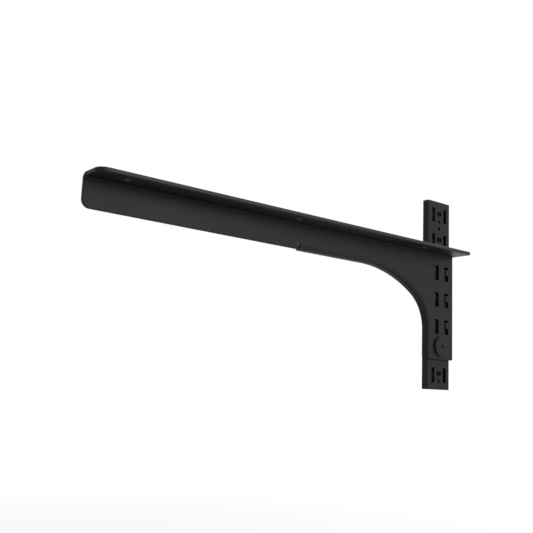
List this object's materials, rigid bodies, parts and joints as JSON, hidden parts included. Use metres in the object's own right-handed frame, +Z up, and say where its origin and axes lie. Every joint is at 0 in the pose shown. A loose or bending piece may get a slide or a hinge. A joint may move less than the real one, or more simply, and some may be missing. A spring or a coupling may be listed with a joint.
{
  "type": "shelf bracket",
  "caption": "L-shaped folded-sheet shelf bracket with a long arm, top flange and curved gusset, hooked on a slotted wall rail and held by a flat-headed pin.",
  "frame": {"origin": "on the face of the rail, at the middle of the wall screw hole above the arm; the wall is 6.5 mm behind it", "axes": "+Z up, -Y out of the wall into the room, +X along the wall from the free end of the arm towards the rail"},
  "size_m": [0.38, 0.0305, 0.1764],
  "materials": {
    "bracket_coat": "satin black powder coat",
    "rail_coat": "satin black powder coat",
    "pin_coat": "satin black coat"
  },
  "bodies": {
    "root": {"bracket": "bracket_coat", "wall_rail": "rail_coat", "lock_pin": "pin_coat"}
  },
  "joints": []
}
